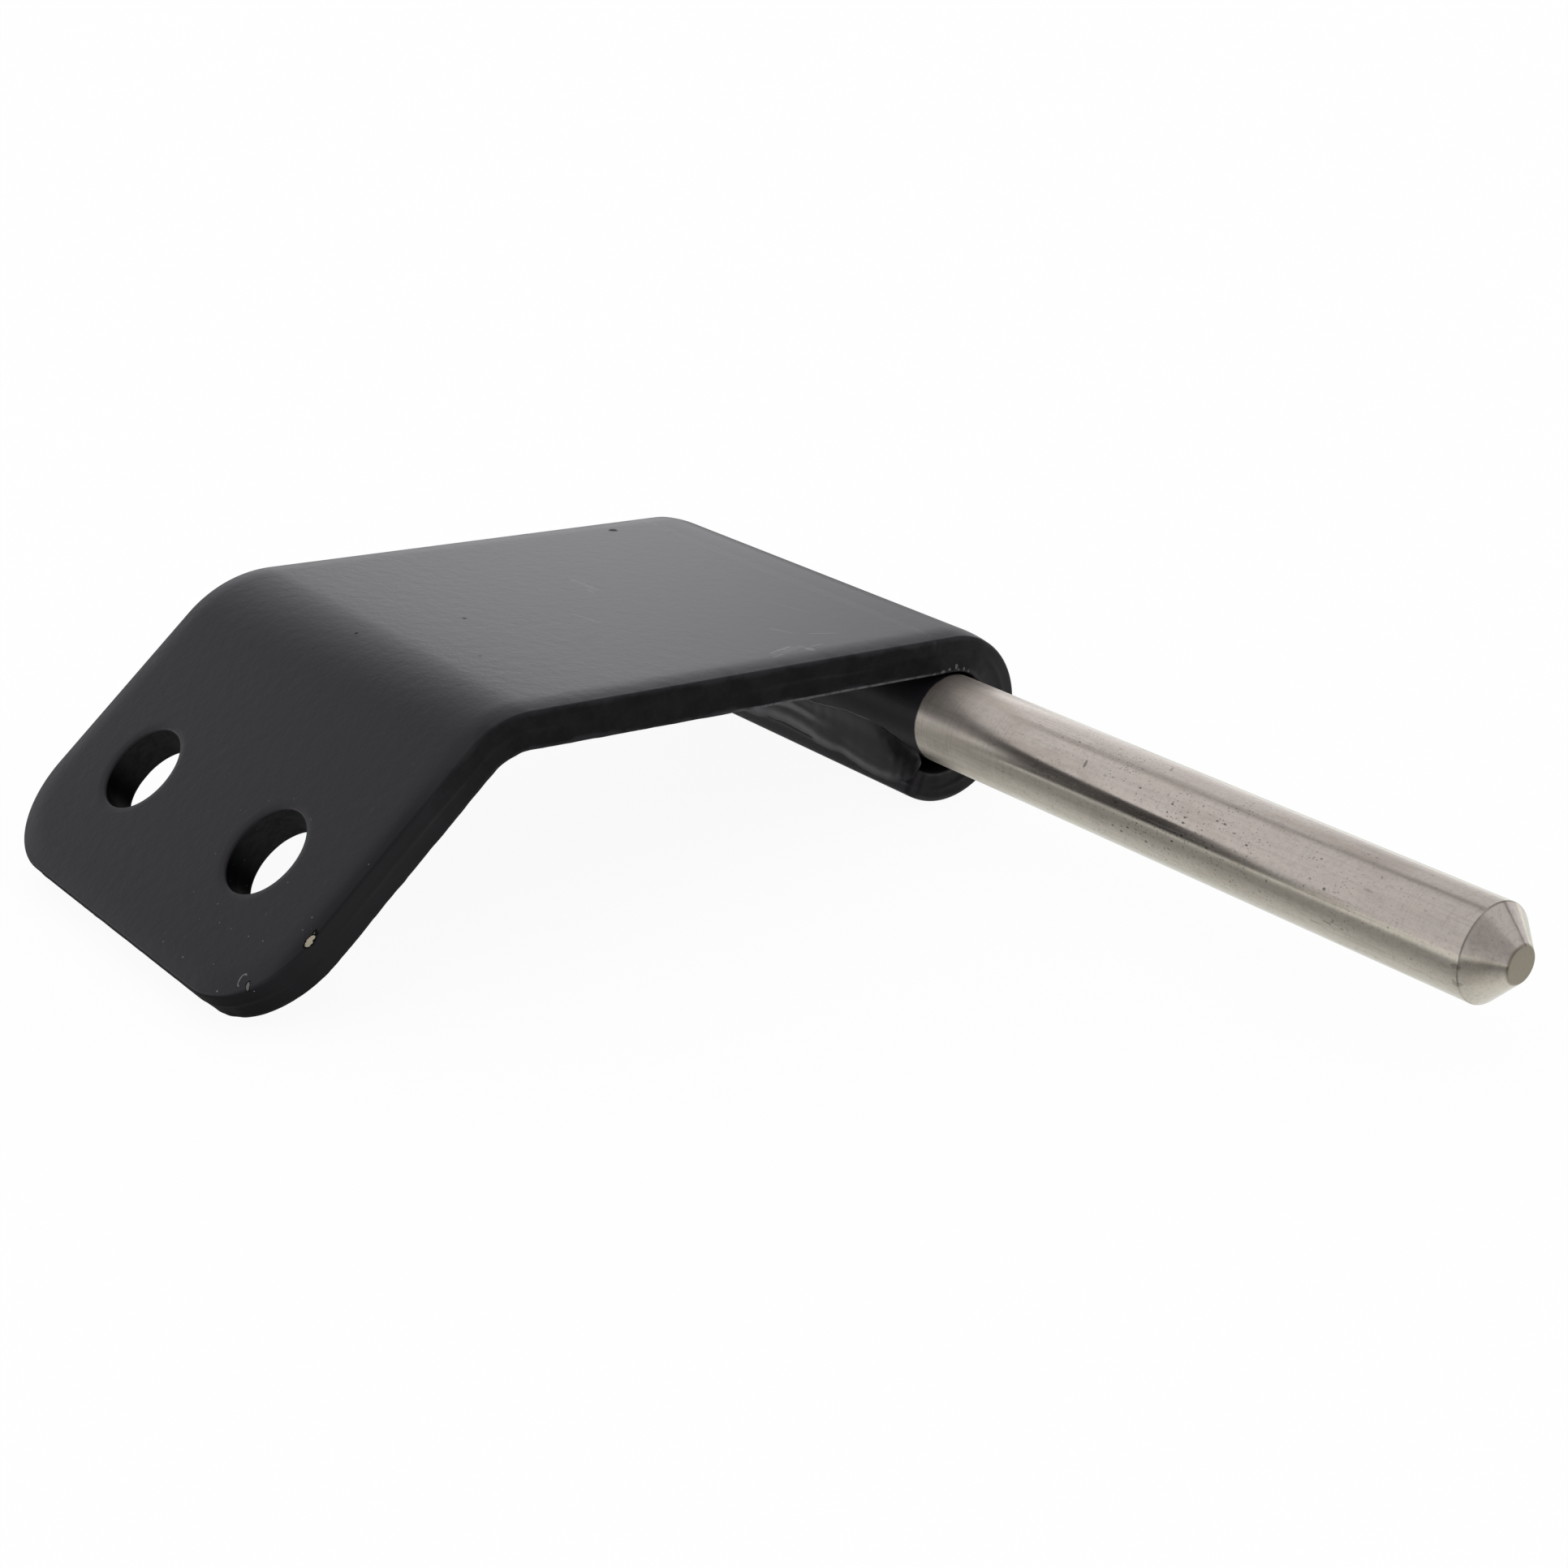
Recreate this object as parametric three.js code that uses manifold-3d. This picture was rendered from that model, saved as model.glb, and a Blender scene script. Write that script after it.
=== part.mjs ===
// A welded pin bracket: a bent steel strip with two bolt holes, rolled into a hook around a round pin,
// which is held by one fillet weld. Millimetres, +Z up.
//
// The origin is on the back of the flange, midway between the two bolt holes. +X runs along the pin
// towards its free end, +Y runs from the flange to the hook, and +Z is up when the part stands on a flat
// bench, on the flange's end and the underside of the hook.

import * as THREE from 'three';
import { mergeVertices } from 'three/addons/utils/BufferGeometryUtils.js';
import Module from 'manifold-3d';

const wasm = await Module();
wasm.setup();

// ---- Driving dimensions ----

// Strip
const STRIP_WIDTH = 54;
const STRIP_THICKNESS = 4.1;

// Flange: lengths are measured from where the outer faces of the flange and the top would meet.
const FLANGE_ANGLE = THREE.MathUtils.degToRad(43.7);
const FLANGE_LENGTH = 36.1;
const FLANGE_CORNER_RADIUS = 10;
const BEND_OUTER_RADIUS = 10;

// Bolt holes: the pair sits half a millimetre off the middle of the strip.
const HOLE_RADIUS = 4.7;
const HOLE_SPACING = 26;
const HOLE_DISTANCE = 21.9;
const HOLE_PAIR_X = 26.5;

// Hook: angles are measured from +Y towards +Z, about the pin's axis. Below the axis the strip thins
// towards its lip, so the inner face runs on a larger arc whose centre is shifted by LIP_THINNING.
const PIN_RADIUS = 9.525 / 2;
const PIN_CLEARANCE = 0.3;
const HOOK_CENTRE_Y = 55.95;
const LIP_OUTER_ANGLE = THREE.MathUtils.degToRad(-120);
const LIP_INNER_ANGLE = THREE.MathUtils.degToRad(-123);
const LIP_THINNING = 0.8;

// Pin
const PIN_LENGTH = 127.5;
const TIP_CHAMFER = 3;
const TAIL_CHAMFER = 0.5;

// Weld: it stops just short of both side faces, and reaches halfway across the lip's end face.
const WELD_GAP = 0.3;
const WELD_INSET = 1;
const WELD_TOE_ON_PIN = THREE.MathUtils.degToRad(-150);
const WELD_ROOT_ON_PIN = THREE.MathUtils.degToRad(-130);
const WELD_TOE_ON_LIP = 0.55;
const WELD_BULGE = 0.8;

// Number of straight steps per quarter circle
const ARC_STEPS = 16;

// ---- Worked-out dimensions ----

const HOOK_INNER_RADIUS = PIN_RADIUS + PIN_CLEARANCE;
const HOOK_OUTER_RADIUS = HOOK_INNER_RADIUS + STRIP_THICKNESS;
const HOOK_CENTRE_Z = -HOOK_OUTER_RADIUS;
const LIP_CENTRE_Y = HOOK_CENTRE_Y - LIP_THINNING;
const LIP_INNER_RADIUS = HOOK_INNER_RADIUS + LIP_THINNING;
const BEND_INNER_RADIUS = BEND_OUTER_RADIUS - STRIP_THICKNESS;
const BEND_CENTRE_Y = BEND_OUTER_RADIUS * Math.tan(FLANGE_ANGLE / 2);

// ---- Frames ----

// The strip is drawn with its flat top level. x is across its width from the far edge, and y and z are
// measured from where the outer faces of the flange and the top would meet.

// A point on the flange: across the strip, down the flange, and out from its outer face.
function flangePoint(across, down, out) {
  const sine = Math.sin(FLANGE_ANGLE);
  const cosine = Math.cos(FLANGE_ANGLE);
  return new THREE.Vector3(across, -down * cosine - out * sine, -down * sine + out * cosine);
}

// How far the bench slopes in the drawing, when it touches the flange's inner end edge and the hook.
function benchSlope() {
  const edge = flangePoint(0, FLANGE_LENGTH, -STRIP_THICKNESS);
  const alongY = HOOK_CENTRE_Y - edge.y;
  const alongZ = HOOK_CENTRE_Z - edge.z;
  return Math.atan2(alongZ, alongY) - Math.asin(HOOK_OUTER_RADIUS / Math.hypot(alongY, alongZ));
}

// ---- Solids ----

// Turns a closed three.js mesh into a manifold solid, for joining and cutting.
function toSolid(geometry) {
  const bare = geometry.clone();
  bare.deleteAttribute('normal');
  bare.deleteAttribute('uv');
  const merged = mergeVertices(bare, 1e-5);
  return new wasm.Manifold(new wasm.Mesh({
    numProp: 3,
    vertProperties: new Float32Array(merged.attributes.position.array),
    triVerts: new Uint32Array(merged.index.array),
  }));
}

// Turns a manifold solid back into a three.js mesh.
function toGeometry(solid) {
  const mesh = solid.getMesh();
  const geometry = new THREE.BufferGeometry();
  geometry.setAttribute('position', new THREE.BufferAttribute(mesh.vertProperties, 3));
  geometry.setIndex(new THREE.BufferAttribute(mesh.triVerts, 1));
  geometry.computeVertexNormals();
  return geometry;
}

// Draws an outline in the plane of the strip's side view and pulls it across the strip, along +X.
function pullAcross(outline, startX, endX) {
  const geometry = new THREE.ExtrudeGeometry(outline, {
    depth: endX - startX,
    bevelEnabled: false,
    curveSegments: ARC_STEPS,
  });
  const xAxis = new THREE.Vector3(1, 0, 0);
  const yAxis = new THREE.Vector3(0, 1, 0);
  const zAxis = new THREE.Vector3(0, 0, 1);
  geometry.applyMatrix4(new THREE.Matrix4().makeBasis(yAxis, zAxis, xAxis));
  geometry.translate(startX, 0, 0);
  return geometry;
}

// Draws an outline on the flange, with x across it and y down it, and pulls it right through.
function pullThroughFlange(outline) {
  const margin = 1;
  const geometry = new THREE.ExtrudeGeometry(outline, {
    depth: STRIP_THICKNESS + 2 * margin,
    bevelEnabled: false,
    curveSegments: ARC_STEPS,
  });
  const origin = flangePoint(0, 0, margin);
  const across = new THREE.Vector3(1, 0, 0);
  const down = flangePoint(0, 1, 0);
  const inward = flangePoint(0, 0, -1);
  geometry.applyMatrix4(new THREE.Matrix4().makeBasis(across, down, inward).setPosition(origin));
  return geometry;
}

// ---- Bracket ----

// The side view of the strip: across the flange's end, up the outer face, around the hook and back inside.
function stripOutline() {
  const bendStart = Math.PI / 2 + FLANGE_ANGLE;
  const outerEnd = flangePoint(0, FLANGE_LENGTH, 0);
  const innerEnd = flangePoint(0, FLANGE_LENGTH, -STRIP_THICKNESS);
  const outline = new THREE.Shape();
  outline.moveTo(innerEnd.y, innerEnd.z);
  outline.lineTo(outerEnd.y, outerEnd.z);
  outline.absarc(BEND_CENTRE_Y, -BEND_OUTER_RADIUS, BEND_OUTER_RADIUS, bendStart, Math.PI / 2, true);
  outline.absarc(HOOK_CENTRE_Y, HOOK_CENTRE_Z, HOOK_OUTER_RADIUS, Math.PI / 2, LIP_OUTER_ANGLE, true);
  outline.absarc(LIP_CENTRE_Y, HOOK_CENTRE_Z, LIP_INNER_RADIUS, LIP_INNER_ANGLE, 0, false);
  outline.absarc(HOOK_CENTRE_Y, HOOK_CENTRE_Z, HOOK_INNER_RADIUS, 0, Math.PI / 2, false);
  outline.absarc(BEND_CENTRE_Y, -BEND_OUTER_RADIUS, BEND_INNER_RADIUS, Math.PI / 2, bendStart, false);
  outline.closePath();
  return outline;
}

// The waste outside one rounded corner of the flange. side is 1 at the far edge and -1 at the near edge.
function cornerWaste(edgeX, side) {
  const margin = 1;
  const radius = FLANGE_CORNER_RADIUS;
  const centreX = edgeX + side * radius;
  const centreY = FLANGE_LENGTH - radius;
  const startAngle = side > 0 ? Math.PI : 0;
  const outline = new THREE.Shape();
  outline.moveTo(edgeX - side * margin, FLANGE_LENGTH + margin);
  outline.lineTo(edgeX - side * margin, centreY);
  outline.absarc(centreX, centreY, radius, startAngle, Math.PI / 2, side > 0);
  outline.lineTo(centreX, FLANGE_LENGTH + margin);
  outline.closePath();
  return toSolid(pullThroughFlange(outline));
}

function boltHole(centreX) {
  const outline = new THREE.Shape();
  outline.absarc(centreX, HOLE_DISTANCE, HOLE_RADIUS, 0, 2 * Math.PI, false);
  return toSolid(pullThroughFlange(outline));
}

function bracketGeometry() {
  let solid = toSolid(pullAcross(stripOutline(), 0, STRIP_WIDTH));
  solid = solid.subtract(cornerWaste(0, 1));
  solid = solid.subtract(cornerWaste(STRIP_WIDTH, -1));
  for (const side of [-1, 1]) {
    solid = solid.subtract(boltHole(HOLE_PAIR_X + side * HOLE_SPACING / 2));
  }
  return toGeometry(solid);
}

// ---- Pin ----

// A round bar with a long chamfer at its free end and a small one at the end inside the bracket.
function pinGeometry() {
  const profile = [
    new THREE.Vector2(0, 0),
    new THREE.Vector2(PIN_RADIUS - TAIL_CHAMFER, 0),
    new THREE.Vector2(PIN_RADIUS, TAIL_CHAMFER),
    new THREE.Vector2(PIN_RADIUS, PIN_LENGTH - TIP_CHAMFER),
    new THREE.Vector2(PIN_RADIUS - TIP_CHAMFER, PIN_LENGTH),
    new THREE.Vector2(0, PIN_LENGTH),
  ];
  const geometry = new THREE.LatheGeometry(profile, 4 * ARC_STEPS);
  geometry.rotateZ(-Math.PI / 2);
  geometry.translate(0, HOOK_CENTRE_Y, HOOK_CENTRE_Z);
  return geometry;
}

// ---- Weld ----

// A point in the side view, given by its distance and angle about a centre on the pin's level.
function polarPoint(centreY, radius, angle) {
  return new THREE.Vector2(centreY + radius * Math.cos(angle), HOOK_CENTRE_Z + radius * Math.sin(angle));
}

// The weld fills the corner between the pin and the lip's end face, with a bulging outer face. It keeps
// WELD_GAP to both, so its outline passes the lip's inner corner on the side away from the metal.
function weldOutline() {
  const footRadius = PIN_RADIUS + WELD_GAP;
  const toeOnPin = polarPoint(HOOK_CENTRE_Y, footRadius, WELD_TOE_ON_PIN);
  const lipInner = polarPoint(LIP_CENTRE_Y, LIP_INNER_RADIUS, LIP_INNER_ANGLE);
  const lipOuter = polarPoint(HOOK_CENTRE_Y, HOOK_OUTER_RADIUS, LIP_OUTER_ANGLE);
  const downLip = lipOuter.clone().sub(lipInner).normalize();
  const offLip = new THREE.Vector2(downLip.y, -downLip.x);
  const cornerClear = lipInner.clone().addScaledVector(offLip, WELD_GAP).addScaledVector(downLip, -WELD_GAP);
  const toeOnLip = lipInner.clone().lerp(lipOuter, WELD_TOE_ON_LIP).addScaledVector(offLip, WELD_GAP);
  const middle = toeOnLip.clone().lerp(toeOnPin, 0.5);
  const crown = middle.addScaledVector(offLip, 2 * WELD_BULGE);
  const outline = new THREE.Shape();
  outline.absarc(HOOK_CENTRE_Y, HOOK_CENTRE_Z, footRadius, WELD_TOE_ON_PIN, WELD_ROOT_ON_PIN, false);
  outline.lineTo(cornerClear.x, cornerClear.y);
  outline.lineTo(toeOnLip.x, toeOnLip.y);
  outline.quadraticCurveTo(crown.x, crown.y, toeOnPin.x, toeOnPin.y);
  return outline;
}

function weldGeometry() {
  return pullAcross(weldOutline(), WELD_INSET, STRIP_WIDTH - WELD_INSET);
}

// ---- Assembly ----

function piece(name, geometry, look) {
  const mesh = new THREE.Mesh(geometry, new THREE.MeshStandardMaterial(look));
  mesh.name = name;
  return mesh;
}

const PAINTED_STEEL = { color: 0x2f2f32, roughness: 0.5, metalness: 0 };
const BARE_STEEL = { color: 0xc9c6c0, roughness: 0.35, metalness: 1 };

// The drawing, moved so that the middle of the holes on the flange's back is the origin.
const drawing = new THREE.Group();
drawing.position.copy(flangePoint(HOLE_PAIR_X, HOLE_DISTANCE, -STRIP_THICKNESS).negate());
drawing.add(piece('bracket', bracketGeometry(), PAINTED_STEEL));
drawing.add(piece('pin', pinGeometry(), BARE_STEEL));
drawing.add(piece('weld_bead', weldGeometry(), PAINTED_STEEL));

// The part as it stands on a level bench.
const assembly = new THREE.Group();
assembly.rotation.x = -benchSlope();
assembly.add(drawing);

export default assembly;
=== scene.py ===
"""A welded pin bracket: the looks of its painted strip, bare pin and weld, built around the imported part."""

import math

import bmesh
import bpy
from mathutils import Euler, Matrix, Vector, noise
from mathutils.geometry import delaunay_2d_cdt


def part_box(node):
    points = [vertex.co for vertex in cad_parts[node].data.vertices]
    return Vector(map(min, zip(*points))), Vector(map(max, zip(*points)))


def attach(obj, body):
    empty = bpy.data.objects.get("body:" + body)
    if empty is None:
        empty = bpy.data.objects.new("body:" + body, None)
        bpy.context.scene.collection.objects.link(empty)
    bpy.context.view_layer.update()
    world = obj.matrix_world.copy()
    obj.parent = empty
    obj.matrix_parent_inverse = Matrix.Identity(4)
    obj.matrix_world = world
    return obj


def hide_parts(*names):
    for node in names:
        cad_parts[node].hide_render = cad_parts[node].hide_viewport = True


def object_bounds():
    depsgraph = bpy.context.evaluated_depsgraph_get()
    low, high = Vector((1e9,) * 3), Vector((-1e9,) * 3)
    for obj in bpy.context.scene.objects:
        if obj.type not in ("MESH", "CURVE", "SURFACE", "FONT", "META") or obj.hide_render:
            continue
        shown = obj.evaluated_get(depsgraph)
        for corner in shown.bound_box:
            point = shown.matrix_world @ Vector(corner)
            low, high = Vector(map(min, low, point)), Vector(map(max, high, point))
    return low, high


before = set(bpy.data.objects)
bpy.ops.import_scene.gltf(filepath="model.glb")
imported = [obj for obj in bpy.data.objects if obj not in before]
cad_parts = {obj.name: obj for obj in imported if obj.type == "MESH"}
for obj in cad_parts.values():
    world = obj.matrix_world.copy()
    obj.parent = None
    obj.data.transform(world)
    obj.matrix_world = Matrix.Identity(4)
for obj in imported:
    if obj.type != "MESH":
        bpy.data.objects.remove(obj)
cad_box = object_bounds()

# Lengths are in millimetres in the drawing, and in metres in the scene.
MM = 0.001

# ---- Driving dimensions, the same as the part's ----

STRIP_THICKNESS = 4.1
FLANGE_ANGLE = math.radians(43.7)
FLANGE_LENGTH = 36.1
FLANGE_CORNER_RADIUS = 10.0
BEND_OUTER_RADIUS = 10.0
HOLE_RADIUS = 4.7
HOLE_SPACING = 26.0
HOLE_DISTANCE = 21.9
HOLE_PAIR_X = 26.5
PIN_CLEARANCE = 0.3
HOOK_CENTRE_Y = 55.95
LIP_OUTER_ANGLE = math.radians(-120)
LIP_INNER_ANGLE = math.radians(-123)
LIP_THINNING = 0.8
TIP_CHAMFER = 3.0
TAIL_CHAMFER = 0.5

# ---- Sizes that only the looks have ----

# The punch pulls the outer face down a little along its edges, and leaves the inner edges nearly sharp.
EDGE_ROLL = (2.8, 0.24)
HOLE_ROLL = (0.7, 0.08)
OUTER_EDGE_RADIUS = 0.3
INNER_EDGE_RADIUS = 0.2
FAR_BEND_RADIUS = 14.0
LIP_CORNER_RADIUS = 1.0

# How far apart the points are: along the outline, on the faces, and around the round stretches
OUTLINE_STEP = 0.45
FACE_STEP = 1.1
ARC_STEP = 0.8

# Rows of points down a cut edge: on its rolled-over width, outer round, straight part and inner round
ROLLED_ROWS = 6
OUTER_ROUND_ROWS = 6
STRAIGHT_ROWS = 16
INNER_ROUND_ROWS = 4

PIN_SIDES = 192
PIN_EDGE_RADIUS = 0.09
PIN_CENTRE_RADIUS = 0.2

# ---- Worked-out dimensions ----

pin_low, pin_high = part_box("pin")
strip_low, strip_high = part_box("bracket")
STRIP_WIDTH = (strip_high.x - strip_low.x) / MM
PIN_RADIUS = (pin_high.z - pin_low.z) / 2 / MM
PIN_LENGTH = (pin_high.x - pin_low.x) / MM
HOOK_INNER_RADIUS = PIN_RADIUS + PIN_CLEARANCE
HOOK_OUTER_RADIUS = HOOK_INNER_RADIUS + STRIP_THICKNESS
HOOK_CENTRE_Z = -HOOK_OUTER_RADIUS
LIP_INNER_RADIUS = HOOK_INNER_RADIUS + LIP_THINNING
BEND_CENTRE_Y = BEND_OUTER_RADIUS * math.tan(FLANGE_ANGLE / 2)

# Places along the strip's outer face, measured from the flange's end
BEND_START = FLANGE_LENGTH - BEND_CENTRE_Y
BEND_END = BEND_START + BEND_OUTER_RADIUS * FLANGE_ANGLE
HOOK_START = BEND_END + HOOK_CENTRE_Y - BEND_CENTRE_Y
HOOK_TURN = math.pi / 2 - LIP_OUTER_ANGLE
STRIP_LENGTH = HOOK_START + HOOK_OUTER_RADIUS * HOOK_TURN
HOLE_ALONG = FLANGE_LENGTH - HOLE_DISTANCE


# ---- From the drawing to the scene ----


def flange_point(across, down, out):
    """A point on the flange: across the strip, down the flange, and out from its outer face."""
    sine, cosine = math.sin(FLANGE_ANGLE), math.cos(FLANGE_ANGLE)
    return Vector((across, -down * cosine - out * sine, -down * sine + out * cosine))


def bench_slope():
    """How far the bench slopes in the drawing, where it touches the flange's inner end edge and the hook."""
    edge = flange_point(0, FLANGE_LENGTH, -STRIP_THICKNESS)
    along_y = HOOK_CENTRE_Y - edge.y
    along_z = HOOK_CENTRE_Z - edge.z
    return math.atan2(along_z, along_y) - math.asin(HOOK_OUTER_RADIUS / math.hypot(along_y, along_z))


def drawing_to_scene():
    """The move that takes the drawing's pin axis, in millimetres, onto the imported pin."""
    turn = Matrix.Rotation(-bench_slope(), 4, "X")
    drawn = turn @ Vector((0, HOOK_CENTRE_Y, HOOK_CENTRE_Z))
    placed = (pin_low + pin_high) / 2 / MM
    shift = Vector((strip_low.x / MM, placed.y - drawn.y, placed.z - drawn.z))
    return Matrix.Scale(MM, 4) @ Matrix.Translation(shift) @ turn


TO_SCENE = drawing_to_scene()


def smooth(value, low, high):
    """0 below low, 1 above high, with a soft change in between."""
    share = min(max((value - low) / (high - low), 0.0), 1.0)
    return share * share * (3 - 2 * share)


def bump(value, centre, width):
    """A soft hill of height 1."""
    return math.exp(-(((value - centre) / width) ** 2))


def wander(seed, *place):
    """Smooth noise between about -1 and 1, at up to three coordinates."""
    x, y, z = (list(place) + [0.0, 0.0])[:3]
    return noise.noise(Vector((x + 31.7 * seed, y - 17.3 * seed, z + 5.1 * seed)))


def join_rows(builder, rows):
    """Adds a band of four-sided faces between each closed row of vertices and the next."""
    for row, following in zip(rows, rows[1:]):
        for i in range(len(row)):
            j = (i + 1) % len(row)
            builder.faces.new((row[i], following[i], following[j], row[j]))


def mesh_object(name, builder, material):
    """Makes an object from a bmesh that is drawn in millimetres."""
    bmesh.ops.recalc_face_normals(builder, faces=builder.faces[:])
    mesh = bpy.data.meshes.new(name)
    builder.to_mesh(mesh)
    builder.free()
    mesh.transform(TO_SCENE)
    mesh.materials.append(material)
    for polygon in mesh.polygons:
        polygon.use_smooth = True
    piece = bpy.data.objects.new(name, mesh)
    bpy.context.scene.collection.objects.link(piece)
    return piece


# ---- Bracket ----


def hook_inner_radius(angle):
    """From the pin's axis to the hook's inner face; below the axis the strip thins towards its lip."""
    if angle >= 0:
        return HOOK_INNER_RADIUS
    shift = -LIP_THINNING * math.cos(angle)
    return shift + math.sqrt(shift * shift - LIP_THINNING**2 + LIP_INNER_RADIUS**2)


def strip_point(across, along, share):
    """A point of the bent strip: across it, along its outer face, and a share of its thickness inwards."""
    bend_radius = FAR_BEND_RADIUS + (BEND_OUTER_RADIUS - FAR_BEND_RADIUS) * across / STRIP_WIDTH
    centre_y = bend_radius * math.tan(FLANGE_ANGLE / 2)
    start = BEND_START - (centre_y - BEND_CENTRE_Y)
    end = BEND_END + (centre_y - BEND_CENTRE_Y)
    if along <= start:
        return flange_point(across, FLANGE_LENGTH - along, -share * STRIP_THICKNESS)
    if along <= end:
        angle = math.pi / 2 + FLANGE_ANGLE * (end - along) / (end - start)
        radius = bend_radius - share * STRIP_THICKNESS
        y = centre_y + radius * math.cos(angle)
        return Vector((across, y, radius * math.sin(angle) - bend_radius))
    if along <= HOOK_START:
        return Vector((across, BEND_CENTRE_Y + along - BEND_END, -share * STRIP_THICKNESS))
    turned = (along - HOOK_START) / HOOK_OUTER_RADIUS
    angle = math.pi / 2 - turned
    radius = HOOK_OUTER_RADIUS + share * (hook_inner_radius(angle) - HOOK_OUTER_RADIUS)
    angle += share * smooth(turned / HOOK_TURN, 0.9, 1.0) * (LIP_INNER_ANGLE - LIP_OUTER_ANGLE)
    y = HOOK_CENTRE_Y + radius * math.cos(angle)
    z = HOOK_CENTRE_Z + radius * math.sin(angle)
    return Vector((across, y, z))


def steps(start, end, step):
    """Evenly spaced values from start up to, but without, end."""
    count = max(2, round(abs(end - start) / step))
    return [start + (end - start) * i / count for i in range(count)]


def corner(centre, radius, start):
    """A quarter turn of outline points, with their outward directions."""
    points = []
    for angle in steps(start, start + math.pi / 2, OUTLINE_STEP / radius):
        out = Vector((math.cos(angle), math.sin(angle)))
        points.append((Vector(centre) + out * radius, out))
    return points


def side(start, end, out):
    """A straight stretch of outline points, with their outward direction."""
    start, end = Vector(start), Vector(end)
    count = max(2, round((end - start).length / OUTLINE_STEP))
    return [(start.lerp(end, i / count), Vector(out)) for i in range(count)]


def strip_outline():
    """The flat strip's outline, anticlockwise from the near end of the flange's edge."""
    big, small = FLANGE_CORNER_RADIUS, LIP_CORNER_RADIUS
    width, length = STRIP_WIDTH, STRIP_LENGTH
    points = side((width, big), (width, length - small), (1, 0))
    points += corner((width - small, length - small), small, 0)
    points += side((width - small, length), (small, length), (0, 1))
    points += corner((small, length - small), small, math.pi / 2)
    points += side((0, length - small), (0, big), (-1, 0))
    points += corner((big, big), big, math.pi)
    points += side((big, 0), (width - big, 0), (0, -1))
    points += corner((width - big, big), big, 1.5 * math.pi)
    return points


def hole_outline(centre_x):
    """One bolt hole's edge, with directions that point into the hole."""
    points = []
    for angle in steps(0, 2 * math.pi, OUTLINE_STEP / HOLE_RADIUS):
        out = Vector((math.cos(angle), math.sin(angle)))
        points.append((Vector((centre_x, HOLE_ALONG)) + out * HOLE_RADIUS, -out))
    return points


def cut_face(along, share, seed):
    """How far a cut side face stands proud: a smooth upper band, a wavy ridge and a torn lower band."""
    ridge_at = 0.46 + 0.06 * wander(seed, along / 9) + 0.025 * wander(seed + 1, along / 2.2)
    ridge = 0.07 * bump(share, ridge_at, 0.055)
    torn = smooth(share, ridge_at, ridge_at + 0.14)
    lumps = 0.10 * wander(seed + 2, along / 3.4, share * 1.6)
    lumps += 0.05 * wander(seed + 3, along / 1.1, share * 4)
    hollow = -0.07 * torn * (1 - smooth(share, 0.75, 0.97))
    return ridge + torn * lumps + hollow


def burr(along, seed):
    """How far the inner edge hangs down: a few small lumps where the cut tore."""
    lumps = max(0.0, wander(seed + 4, along / 1.7) - 0.15) * 0.24
    grain = 0.03 * wander(seed + 5, along / 0.6)
    torn = smooth(wander(seed + 6, along / 13), -0.1, 0.35)
    return (lumps + grain) * (0.35 + 0.65 * torn)


def rim_rows():
    """The rows of a cut edge: share of the rolled width, distance in, distance down, share of the rest."""
    outer, inner = OUTER_EDGE_RADIUS, INNER_EDGE_RADIUS
    rows = [(1 - i / ROLLED_ROWS, outer, 0.0, 0.0) for i in range(ROLLED_ROWS)]
    for i in range(OUTER_ROUND_ROWS + 1):
        angle = math.pi / 2 * i / OUTER_ROUND_ROWS
        rows.append((0.0, outer * (1 - math.sin(angle)), outer * (1 - math.cos(angle)), 0.0))
    rows += [(0.0, 0.0, outer, i / STRAIGHT_ROWS) for i in range(1, STRAIGHT_ROWS + 1)]
    for i in range(1, INNER_ROUND_ROWS + 1):
        angle = math.pi / 2 * i / INNER_ROUND_ROWS
        rows.append((0.0, inner * (1 - math.cos(angle)), outer + inner * math.sin(angle), 1.0))
    return rows


def distance_along(points):
    """The running distance from the first point, one value for each."""
    total, result = 0.0, []
    for i, (point, _) in enumerate(points):
        result.append(total)
        total += (points[(i + 1) % len(points)][0] - point).length
    return result


def add_rim(builder, flat, points, seed, rough, roll):
    """Adds one cut edge. Its roll is how wide and deep it is pulled down; rough scales its tears.

    Returns its first and last rows of vertices.
    """
    rows = []
    roll_width, roll_depth = roll
    distances = distance_along(points)
    straight = STRIP_THICKNESS - OUTER_EDGE_RADIUS - INNER_EDGE_RADIUS
    for rolled, inset, down, rest in rim_rows():
        row = []
        for (point, out), distance in zip(points, distances):
            narrow = 1 - 0.85 * smooth(point.y, STRIP_LENGTH - 14, STRIP_LENGTH - 2)
            sunk = roll_depth * narrow
            depth = sunk * (1 - rolled) ** 2 + down + rest * (straight - sunk)
            share = depth / STRIP_THICKNESS
            worn = smooth(share, 0.1, 0.3) * (1 - smooth(share, 0.97, 1.0) * 0.4)
            proud = rough * worn * cut_face(distance, share, seed)
            hang = rough * smooth(share, 0.90, 0.99) * burr(distance, seed) / STRIP_THICKNESS
            place = point + out * (proud - inset - rolled * roll_width * narrow)
            vertex = builder.verts.new(strip_point(place.x, place.y, share + hang))
            row.append(vertex)
            flat[vertex] = (place.x, place.y, share)
        rows.append(row)
    join_rows(builder, rows)
    return rows[0], rows[-1]


def face_stations():
    """Places along the strip for the faces' inner points: closer together where the strip bends."""
    spread = 2.0
    places = steps(0, BEND_START - spread, FACE_STEP)
    places += steps(BEND_START - spread, BEND_END + spread, ARC_STEP)
    places += steps(BEND_END + spread, HOOK_START, FACE_STEP) + steps(HOOK_START, STRIP_LENGTH, ARC_STEP)
    return places


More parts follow.
